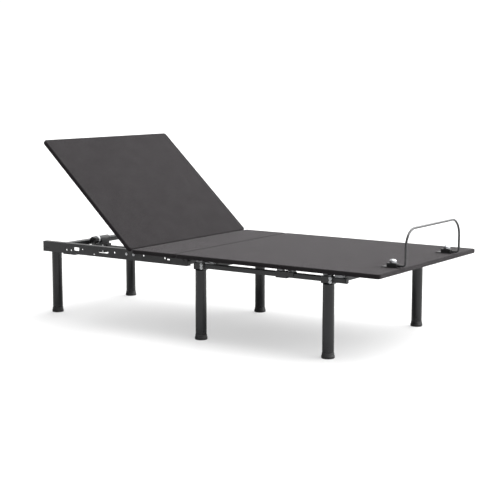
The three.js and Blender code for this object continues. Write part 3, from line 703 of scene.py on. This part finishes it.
def board_piece(node, length, width, thick, centre, lift, seed):
    """Builds a covered board, turns it up by lift about Y and sets it at centre."""
    rings, cloth, inset, under, split = covered_board(length, width, thick, seed)
    count, around = rings.shape[:2]
    x, y, z = np.moveaxis(rings, -1, 0)
    stood = np.stack([
        x * math.cos(lift) + z * math.sin(lift), y, -x * math.sin(lift) + z * math.cos(lift)], -1)
    points = np.concatenate([stood.reshape(-1, 3), stood[[0, -1]].mean(axis=1)]) + centre
    quads = ring_faces(count, around)
    j = np.arange(around)
    k = (j + 1) % around
    last = (count - 1) * around
    first_pole, last_pole = count * around, count * around + 1
    under_fan = np.stack([np.full(around, first_pole), k, j], axis=-1)
    top_fan = np.stack([np.full(around, last_pole), last + j, last + k], axis=-1)

    mesh = bpy.data.meshes.new(f"{node}_cloth")
    mesh.from_pydata(points, [], quads.tolist() + under_fan.tolist() + top_fan.tolist())
    flat_cloth = np.concatenate([cloth.reshape(-1, 2), cloth[[0, -1]].mean(axis=1)])
    loops = np.concatenate([quads.ravel(), under_fan.ravel(), top_fan.ravel()])
    places = flat_cloth[loops]
    seam = slice(4 * around * (split - 1), 4 * around * split)
    ring_of = quads.ravel()[seam] // around
    places[seam] -= np.where(ring_of < split, 1.0, 0.0)[:, None] * [UNDER_SHIFT, 0.0]
    seam_shift = np.where(ring_of < split, thick - 2 * sizes().board_edge, 0.0)[:, None]
    outwards = board_outline(length / 2, width / 2, sizes().board_corner)[1]
    places[seam] += outwards[quads.ravel()[seam] % around] * seam_shift
    layer = mesh.uv_layers.new(name="cloth")
    layer.data.foreach_set("uv", places.astype(np.float32).ravel())

    run = np.concatenate([[0], np.cumsum(np.linalg.norm(
        np.diff(rings[split], axis=0), axis=1))])
    values = {
        "edge_inset": np.append(np.repeat(inset, around), [DEEP_INSET] * 2),
        "edge_run": np.append(np.tile(run, count), [0.0, 0.0]),
        "underside": np.append(np.repeat(under, around), [1.0, 0.0]),
    }
    for name, value in values.items():
        attribute = mesh.attributes.new(name, "FLOAT", "POINT")
        attribute.data.foreach_set("value", value.astype(np.float32))
    mesh.shade_smooth()
    piece = bpy.data.objects.new(mesh.name, mesh)
    bpy.context.scene.collection.objects.link(piece)
    mesh.materials.append(finish("cloth"))
    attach(piece, frame["nodes"][node]["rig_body"])
    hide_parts(node)


class BEDBASE_OT_deck(bpy.types.Operator):
    """Cover the three boards of the deck in cloth"""

    bl_idname = "bedbase.deck"
    bl_label = "Deck boards"

    def execute(self, context):
        low, high = corners("seat_panel")
        thick = high[2] - low[2]
        width = high[1] - low[1]
        for seed, node in enumerate(("seat_panel", "leg_panel")):
            low, high = corners(node)
            board_piece(node, high[0] - low[0], width, thick, (low + high) / 2, 0.0, seed + 3)
        low, high = corners("head_panel")
        slope, rise = math.cos(REST_ANGLE), math.sin(REST_ANGLE)
        length = (high[2] - low[2] - thick * slope) / rise
        board_piece("head_panel", length, width, thick, (low + high) / 2, REST_ANGLE, 11)
        return {"FINISHED"}


# ------------------------------------------------------------------ legs
class BEDBASE_OT_legs(bpy.types.Operator):
    """Turn the six legs and their boots"""

    bl_idname = "bedbase.legs"
    bl_label = "Legs and boots"

    def execute(self, context):
        for name in LEGS:
            low, high = corners(f"leg_{name}")
            radius = (high[0] - low[0]) / 2
            centre = [*((low + high) / 2)[:2], 0.0]
            tube = turned([
                (radius - 0.001, low[2]), (radius, low[2] + 0.001), (radius, high[2] - 0.0022),
                (radius - 0.0004, high[2] - 0.0011), (radius - 0.0012, high[2] - 0.0003),
                (radius - 0.0022, high[2])])
            make_piece(f"leg_{name}_tube", placed(tube, centre), "leg", "frame", [f"leg_{name}"])
            low, high = corners(f"boot_{name}")
            base, top = (high[0] - low[0]) / 2, high[2]
            boot = turned([
                (0.009, 0.0016), (0.0104, 0.0014), (0.0112, 0.0), (0.0165, 0.0), (0.0173, 0.0013),
                (0.0185, 0.0013), (0.0193, 0.0), (base - 0.0022, 0.0), (base - 0.0009, 0.0005),
                (base - 0.0002, 0.0017), (base, 0.0034), (base, 0.0100), (base - 0.0004, 0.0118),
                (base - 0.0013, 0.0134), (base - 0.0019, 0.0152), (base - 0.0022, 0.0180),
                (base - 0.0023, top - 0.0020), (base - 0.0026, top - 0.0009),
                (base - 0.0032, top - 0.0002), (radius + 0.0001, top), (radius - 0.001, top - 0.002)])
            make_piece(f"boot_{name}_moulding", placed(boot, centre), "boot", "frame",
                       [f"boot_{name}"], sharp=50)
        return {"FINISHED"}


# ------------------------------------------------------------------ steel frame
RAIL_BOLTS = (0.114, 0.071)  # hinge line back to each bolt in a rail's web
BOLT_DROP = 0.0225  # top of the rail to those bolts
RAIL_PAD = (0.522, 0.442)  # hinge line back to the two ends of the pad under a rail


def bolt(radius=0.0062, height=0.0042):
    """A round-headed bolt on a washer, with a round recess in its head."""
    washer = turned(rounded_rod(radius * 1.55, 0.0, 0.0013, 0.0004))
    head = turned([
        (radius, 0.0011), (radius, height * 0.45), (radius * 0.93, height * 0.74),
        (radius * 0.78, height * 0.93), (radius * 0.60, height), (radius * 0.50, height),
        (radius * 0.47, height * 0.5)])
    return joined(washer, head)


def nut(radius=0.0062, height=0.005):
    """A hexagon nut with its corners taken off, and the end of its bolt."""
    a = np.linspace(0, 2 * math.pi, 6, endpoint=False)
    flank = 0.0006
    rows = np.array([
        (radius * 0.93, 0), (radius, flank), (radius, height - flank), (radius * 0.93, height)])
    rings = np.stack([
        rows[:, :1] * np.cos(a), rows[:, :1] * np.sin(a), np.broadcast_to(rows[:, 1:], (4, 6))], -1)
    return joined(closed_rings(rings), turned(rounded_rod(radius * 0.5, 0.0, height + 0.002)))


def saddle_part(node):
    """A bent saddle: a U-shaped outline with rounded bends, carried along X."""
    low, high = corners(node)
    tube_low, tube_high = corners(f"foot_tube_{node.split('_')[-1]}")
    inner = (tube_high[1] - tube_low[1]) / 2 + 0.0003
    outer = (high[1] - low[1]) / 2
    floor = tube_low[2] - 0.0003
    y = (low[1] + high[1]) / 2
    outline = filleted(
        [(-outer, high[2]), (-outer, low[2]), (outer, low[2]), (outer, high[2]),
         (inner, high[2]), (inner, floor), (-inner, floor), (-inner, high[2])],
        [0.0006, 0.0045, 0.0045, 0.0006, 0.0006, 0.0012, 0.0012, 0.0006])
    stations = np.array([low[0], low[0] + 0.0004, high[0] - 0.0004, high[0]])
    shrink = np.array([0.0004, 0.0, 0.0, 0.0004])[:, None]
    inwards = np.sign(outline) * [1, 0]
    rings = outline[None] - inwards[None] * shrink[:, :, None] * 0.5
    x = np.broadcast_to(stations[:, None], rings.shape[:2])
    return closed_rings(np.dstack([x, rings[..., 0] + y, rings[..., 1]]))


class BEDBASE_OT_steel(bpy.types.Operator):
    """Finish the rails, beams, tubes, saddles and brackets"""

    bl_idname = "bedbase.steel"
    bl_label = "Steel frame"

    def execute(self, context):
        edge = sizes().steel_edge
        steel = [f"{name}_{side}" for name in ("head_rail", "foot_tube", "head_frame_bar")
                 for side in SIDES]
        steel += ["head_cross_beam", "mid_cross_beam", "foot_cross_beam_head", "foot_cross_beam_foot",
                  "head_frame_cross_upper", "head_frame_cross_lower"]
        for node in steel:
            eased_piece(node, "steel", edge)
        black = [f"{name}_{side}" for name in ("joining_bar", "tube_sleeve", "hinge_bracket")
                 for side in SIDES]
        for node in black + ["tail_bracket", "lift_lever"]:
            eased_piece(node, "black", edge)
        for name in SADDLES:
            node = f"leg_saddle_{name}"
            make_piece(f"{node}_bent", saddle_part(node), "black", "frame", [node])
        for side in SIDES:
            for place in ("head", "mid", "foot"):
                eased_piece(f"deck_bracket_{place}_{side}", "grey", sizes().plastic_edge)
        return {"FINISHED"}


class BEDBASE_OT_fittings(bpy.types.Operator):
    """Add the bolts, end plugs and small plates of the frame"""

    bl_idname = "bedbase.fittings"
    bl_label = "Bolts and plugs"

    def execute(self, context):
        for name in SADDLES:
            low, high = corners(f"leg_saddle_{name}")
            sign = SIDES[name.split("_")[-1]]
            outer_y, inner_y = (low[1], high[1]) if sign < 0 else (high[1], low[1])
            x = low[0] + (0.043 if name.startswith("mid") else 0.045)
            heads, nuts = [], []
            for z in (low[2] + 0.0095, high[2] - 0.0075):
                heads.append(placed(bolt(0.0048, 0.0036), (x, outer_y, z), (0, sign, 0)))
                nuts.append(placed(nut(0.0048, 0.004), (x, inner_y, z), (0, -sign, 0)))
            make_piece(f"saddle_bolts_{name}", joined(*heads, *nuts), "zinc", "frame")
        for side, sign in SIDES.items():
            make_piece(f"rail_bolts_{side}", rail_bolts(side, sign), "zinc", "frame")
            make_piece(f"rail_plugs_{side}", rail_plugs(side, sign), "plastic", "frame")
            make_piece(f"tube_plugs_{side}", tube_plugs(side), "plastic", "frame")
            make_piece(f"head_bar_plug_{side}", head_bar_plug(side), "plastic", "head")
        return {"FINISHED"}


def rail_bolts(side, sign):
    """The bolts of the hinge bracket, through the rail's web."""
    low, high = corners(f"head_rail_{side}")
    outer_y = low[1] if sign < 0 else high[1]
    return joined(*[
        placed(bolt(0.0042, 0.003), (HINGE[0] - back, outer_y, high[2] - BOLT_DROP), (0, sign, 0))
        for back in RAIL_BOLTS])


def rail_plugs(side, sign):
    """The plug in the rail's foot end, the pad under the rail and the plug in its head slot."""
    low, high = corners(f"head_rail_{side}")
    outer_y = low[1] if sign < 0 else high[1]

    def depth(first, last):
        return sorted((outer_y - sign * first, outer_y - sign * last))

    parts = (
        ((high[0] - 0.013, high[0] + 0.0008), depth(0.0036, 0.0285), (0.0035, 0.024), 0.003, 0.0012),
        ((HINGE[0] - RAIL_PAD[0], HINGE[0] - RAIL_PAD[1]), depth(0.002, 0.027), (-0.005, -0.0002),
         0.004, 0.0012),
        ((low[0] + 0.018, low[0] + 0.043), depth(0.002, -0.0007), (0.0145, 0.0225), 0.0005, 0.0003))
    return joined(*[
        soft_block((x[0], y[0], low[2] + z[0]), (x[1], y[1], low[2] + z[1]), corner, edge)
        for x, y, z, corner, edge in parts])


def end_cap(width, height, thick, edge):
    """The visible plate of a tube's end plug, lying flat on its inner face."""
    return soft_block((-width / 2, -height / 2, 0.0), (width / 2, height / 2, thick), 0.0035, edge)


def tube_plugs(side):
    """A stub and an end cap at both ends of a side tube."""
    low, high = corners(f"foot_tube_{side}")
    wall = 0.0023
    plugs = []
    for x, out in ((low[0], -1), (high[0], 1)):
        stub = sorted((x + out * 0.0006, x - out * 0.018))
        plugs.append(soft_block((stub[0], low[1] + wall, low[2] + wall),
                                (stub[1], high[1] - wall, high[2] - wall)))
        cap = end_cap(high[1] - low[1], high[2] - low[2], 0.005, 0.0022)
        plugs.append(placed(cap, (x + out * 0.0002, *((low + high) / 2)[1:]), (out, 0, 0)))
    return joined(*plugs)


def up_the_head(points):
    """Points drawn flat about the hinge line, turned up to the head section's drawn angle."""
    x, y, z = np.moveaxis(np.asarray(points, float), -1, 0)
    rise, run = math.sin(REST_ANGLE), math.cos(REST_ANGLE)
    return np.stack([x * run + z * rise, y, -x * rise + z * run], axis=-1) + [HINGE[0], 0.0, HINGE[2]]


def head_bar_plug(side):
    """End plug of a head frame bar, found from the bar's farthest corner up the slope."""
    node = frame["nodes"][f"head_frame_bar_{side}"].data
    points = np.zeros(len(node.vertices) * 3, np.float32)
    node.vertices.foreach_get("co", points)
    x, y, z = (points.reshape(-1, 3) - [HINGE[0], 0.0, HINGE[2]]).T
    rise, run = math.sin(REST_ANGLE), math.cos(REST_ANGLE)
    flat_x, flat_z = x * run - z * rise, x * rise + z * run
    end = flat_x.min()
    at_end = flat_x < end + 0.0001
    low = np.array([end - 0.0045, y[at_end].min(), flat_z[at_end].min()])
    high = np.array([end - 0.0002, y[at_end].max(), flat_z[at_end].max()])
    cap_points, faces = placed(
        end_cap(high[1] - low[1], high[2] - low[2], 0.0043, 0.002),
        (high[0], (low[1] + high[1]) / 2, (low[2] + high[2]) / 2), (-1, 0, 0))
    return up_the_head(cap_points), faces


# ------------------------------------------------------------------ hinges and lift
def cross_pin(node):
    """A pin along Y with a rounded head at each end, on the node's own box."""
    low, high = corners(node)
    reach, radius = (high[1] - low[1]) / 2, (high[0] - low[0]) / 2
    shank, head = radius * 0.62, 0.0018
    profile = [
        (radius - 0.0006, -reach), (radius, -reach + 0.0005), (radius, -reach + head),
        (shank, -reach + head), (shank, reach - head), (radius, reach - head),
        (radius, reach - 0.0005), (radius - 0.0006, reach)]
    return placed(turned(profile), (low + high) / 2, (0, 1, 0))


class BEDBASE_OT_lift(bpy.types.Operator):
    """Finish the hinges, the motor, its gearbox, the tube and the push rod"""

    bl_idname = "bedbase.lift"
    bl_label = "Hinges and lift"

    def execute(self, context):
        for node, body in (("hinge_pin_near", "frame"), ("hinge_pin_far", "frame"),
                           ("tail_pin", "frame"), ("rod_pin", "rod")):
            make_piece(f"{node}_turned", cross_pin(node), "zinc", body, [node])

        tail, pin = middle("tail_pin"), middle("rod_pin")
        along = (pin - tail) / np.linalg.norm(pin - tail)
        up = np.array([-along[2], 0.0, along[0]])
        eased_piece("gearbox", "plastic", sizes().plastic_edge)
        low, high = corners("gearbox")
        screws = [placed(bolt(0.0032, 0.0022), tail + along * x + up * z + [0, y, 0], (0, y, 0))
                  for x, z in ((0.033, -0.015), (0.074, -0.015), (0.074, 0.015))
                  for y in (low[1], high[1])]
        make_piece("gearbox_screws", joined(*screws), "zinc", "actuator")

        low, high = corners("motor")
        radius = (high[0] - low[0]) / 2
        centre = (low + high) / 2
        near, far = low[1] - centre[1], high[1] - centre[1]
        can = turned([
            (0.0060, near), (0.0070, near + 0.0006), (0.0070, near + 0.003),
            (radius - 0.0045, near + 0.003), (radius - 0.0020, near + 0.0038),
            (radius - 0.0012, near + 0.0055), (radius - 0.0012, near + 0.0085),
            (radius - 0.0004, near + 0.0092), (radius, near + 0.0104), (radius, near + 0.020),
            (radius - 0.0006, near + 0.0206), (radius - 0.0006, near + 0.0222),
            (radius, near + 0.0228), (radius, far - 0.006), (radius - 0.0008, far - 0.0022),
            (radius - 0.0030, far - 0.0004), (radius - 0.0060, far)])
        make_piece("motor_can", placed(can, centre, (0, 1, 0)), "motor", "actuator", ["motor"])
        strap = turned([
            (radius + 0.0001, -0.006), (radius + 0.0009, -0.0056), (radius + 0.0009, 0.0056),
            (radius + 0.0001, 0.006)])
        make_piece("motor_strap", placed(strap, centre + [0, near + 0.040, 0], (0, 1, 0)),
                   "zinc", "actuator")

        low, high = corners("outer_tube")
        collar = (high[1] - low[1]) / 2
        start = (low[0] - tail[0]) / along[0]
        end = (high[0] - tail[0]) / along[0] - 0.0001
        tube = turned([
            (collar - 0.0030, start), (collar - 0.002, start + 0.001), (collar - 0.002, end - 0.0188),
            (collar - 0.0016, end - 0.0182), (collar, end - 0.0172), (collar, end - 0.0016),
            (collar - 0.0005, end - 0.0005), (collar - 0.0016, end), (0.0118, end),
            (0.0108, end - 0.0008), (0.0104, end - 0.004)])
        make_piece("outer_tube_turned", placed(tube, tail, along), "motor", "actuator", ["outer_tube"])
        reach = np.linalg.norm(pin - tail)
        low, high = corners("push_rod")
        eye, half = (high[2] - low[2]) / 2, (high[1] - low[1]) / 2
        rod_start = (low[0] - tail[0]) / along[0]
        shaft = placed(turned(rounded_rod(0.010, rod_start, reach - 0.008)), tail, along)
        knuckle = placed(turned(rounded_rod(eye - 0.0003, -half, half, 0.0016)), pin, (0, 1, 0))
        make_piece("push_rod_turned", joined(shaft, knuckle), "rod", "rod", ["push_rod"])
        return {"FINISHED"}


class BEDBASE_OT_control(bpy.types.Operator):
    """Finish the control box and its screws"""

    bl_idname = "bedbase.control"
    bl_label = "Control box"

    def execute(self, context):
        eased_piece("control_box", "plastic", sizes().plastic_edge)
        low, high = corners("control_box")
        screws = [placed(bolt(0.0026, 0.0016), (x, y, low[2]), (0, 0, -1))
                  for x in (low[0] + 0.010, high[0] - 0.010) for y in (low[1] + 0.010, high[1] - 0.010)]
        make_piece("control_box_screws", joined(*screws), "zinc", "frame")
        return {"FINISHED"}


# ------------------------------------------------------------------ mattress bar
class BEDBASE_OT_mattress_bar(bpy.types.Operator):
    """Bend the mattress bar and make its clamps and knobs"""

    bl_idname = "bedbase.mattress_bar"
    bl_label = "Mattress bar"

    def execute(self, context):
        low, high = corners("retainer_bar")
        cut = sizes()
        radius = cut.wire_radius
        x0, x1 = low[0], high[0] - radius
        y0, y1 = low[1] + radius, high[1] - radius
        z0, z1 = low[2] + radius, high[2] - radius
        path = filleted(
            [(x0, y0, z0), (x1, y0, z0), (x1, y0, z1), (x1, y1, z1), (x1, y1, z0), (x0, y1, z0)],
            [0.0, cut.wire_bend, cut.wire_corner, cut.wire_corner, cut.wire_bend, 0.0], steps=14,
            closed=False)
        make_piece("retainer_bar_wire", carried(circle(radius), path, (0.7071, -0.7071, 0.0)),
                   "wire", "frame", ["retainer_bar"], sharp=60)
        for side in SIDES:
            eased_piece(f"retainer_clamp_{side}", "plastic", sizes().plastic_edge)
            low, high = corners(f"retainer_knob_{side}")
            size, height = (high[0] - low[0]) / 2, high[2] - low[2]
            t = np.linspace(0.0, 1.52, 14)
            dome = [(size * math.cos(a), height * (0.42 + 0.58 * math.sin(a)), max(0.0, 1 - a * 2.2))
                    for a in t]
            knob = turned([(size - 0.002, 0.0), (size - 0.0006, 0.0006), (size, 0.002, 1.0), *dome],
                          lobes=14, depth=0.05)
            make_piece(f"retainer_knob_{side}_dome",
                       placed(knob, (*((low + high) / 2)[:2], low[2])), "chrome", "frame",
                       [f"retainer_knob_{side}"], sharp=60)
        return {"FINISHED"}


# ------------------------------------------------------------------ stage
def soft_light(name, place, target, size, power):
    """A square softbox that faces a point."""
    light = bpy.data.lights.new(name, "AREA")
    light.shape = "RECTANGLE"
    light.size, light.size_y = size
    light.energy = power
    lamp = bpy.data.objects.new(name, light)
    bpy.context.scene.collection.objects.link(lamp)
    lamp.location = place
    heading = bpy_vector(target) - bpy_vector(place)
    lamp.rotation_euler = heading.to_track_quat("-Z", "Y").to_euler()
    return lamp


def bpy_vector(values):
    return bpy.context.scene.cursor.location.__class__(values)


class BEDBASE_OT_stage(bpy.types.Operator):
    """Lay the floor, hang the lights and place the camera"""

    bl_idname = "bedbase.stage"
    bl_label = "Floor, lights and camera"

    def execute(self, context):
        scene = context.scene
        reach = np.linspace(-40.0, 40.0, 9)
        x, y = np.meshgrid(reach, reach, indexing="ij")
        corner = (np.arange(8)[:, None] * 9 + np.arange(8)[None, :]).ravel()
        quads = np.stack([corner, corner + 9, corner + 10, corner + 1], axis=-1)
        mesh = bpy.data.meshes.new("floor")
        mesh.from_pydata(np.stack([x, y, np.zeros_like(x)], -1).reshape(-1, 3), [], quads.tolist())
        floor = bpy.data.objects.new("floor", mesh)
        scene.collection.objects.link(floor)
        material, tree, shader, place = new_material("Studio floor")
        tone = effect(tree, "mottle", place=place, scale=3.0, low=0.985, high=1.0)["Value"]
        tree.links.new(shaded(tree, colours().floor, tone), shader.inputs["Base Color"])
        shader.inputs["Roughness"].default_value = 0.7
        shader.inputs["Specular IOR Level"].default_value = 0.2
        glow = calc(tree, "MULTIPLY", shader_node(tree, "LightPath").outputs["Is Camera Ray"], 0.45)
        shader.inputs["Emission Color"].default_value = (1.0, 1.0, 1.0, 1.0)
        tree.links.new(glow, shader.inputs["Emission Strength"])
        mesh.materials.append(material)

        world = bpy.data.worlds.new("Studio")
        world.use_nodes = True
        scene.world = world
        sky = world.node_tree
        background = sky.nodes["Background"]
        seen = shader_node(sky, "LightPath").outputs["Is Camera Ray"]
        heading = shader_node(sky, "TexCoord").outputs["Generated"]
        behind = shader_node(
            sky, "VectorMath", {0: heading, 1: (0.45, 0.60, 0.66)}, operation="DOT_PRODUCT")
        wash = shader_node(sky, "MapRange", {
            "Value": behind.outputs["Value"], "From Min": -0.6, "From Max": 0.8,
            "To Min": 0.12, "To Max": 1.35}, interpolation_type="SMOOTHSTEP").outputs[0]
        white = shader_node(sky, "Mix", {"Factor": seen, 2: wash, 3: 1.05}, data_type="FLOAT")
        sky.links.new(white.outputs[0], background.inputs["Strength"])
        background.inputs["Color"].default_value = (1.0, 1.0, 1.0, 1.0)

        sun = bpy.data.lights.new("overhead", "SUN")
        sun.energy = 4.6
        sun.angle = math.radians(80)
        lamp = bpy.data.objects.new("overhead", sun)
        scene.collection.objects.link(lamp)
        lamp.rotation_euler = bpy_vector((-0.45, -0.55, -1.0)).to_track_quat("-Z", "Y").to_euler()

        soft_light("side_softbox", (4.2, 1.0, 1.6), (0.2, 0.0, 0.3), (1.4, 2.2), 20.0)

        camera = bpy.data.cameras.new("camera")
        camera.sensor_width = 36.0
        camera.lens = 89.41
        viewer = bpy.data.objects.new("camera", camera)
        scene.collection.objects.link(viewer)
        viewer.location = (3.24285, -4.71236, 1.15424)
        viewer.rotation_euler = (math.radians(82.273), 0.0, math.radians(34.581))
        scene.camera = viewer
        scene.view_settings.view_transform = "Standard"
        return {"FINISHED"}


# ------------------------------------------------------------------ add-on
STEPS = (BEDBASE_OT_stage, BEDBASE_OT_deck, BEDBASE_OT_legs, BEDBASE_OT_steel,
         BEDBASE_OT_fittings, BEDBASE_OT_lift, BEDBASE_OT_control, BEDBASE_OT_mattress_bar)


class BEDBASE_PT_panel(bpy.types.Panel):
    """Lists the steps in order, with the sizes and colours they use"""

    bl_idname = "BEDBASE_PT_panel"
    bl_label = "Bed base"
    bl_space_type = "VIEW_3D"
    bl_region_type = "UI"
    bl_category = "Bed base"

    def draw(self, context):
        for step in STEPS:
            self.layout.operator(step.bl_idname)
        for group in (context.scene.bed_base_sizes, context.scene.bed_base_colours):
            box = self.layout.box()
            for name in group.__annotations__:
                box.prop(group, name)


CLASSES = (BedBaseSizes, BedBaseColours, *STEPS, BEDBASE_PT_panel)


def register():
    for kind in CLASSES:
        bpy.utils.register_class(kind)
    bpy.types.Scene.bed_base_sizes = bpy.props.PointerProperty(type=BedBaseSizes)
    bpy.types.Scene.bed_base_colours = bpy.props.PointerProperty(type=BedBaseColours)


def unregister():
    del bpy.types.Scene.bed_base_colours
    del bpy.types.Scene.bed_base_sizes
    for kind in reversed(CLASSES):
        bpy.utils.unregister_class(kind)


def main():
    """Registers the add-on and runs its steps."""
    register()
    bpy.ops.bedbase.stage()
    bpy.ops.bedbase.deck()
    bpy.ops.bedbase.legs()
    bpy.ops.bedbase.steel()
    bpy.ops.bedbase.fittings()
    bpy.ops.bedbase.lift()
    bpy.ops.bedbase.control()
    bpy.ops.bedbase.mattress_bar()


if __name__ == "__main__":
    main()
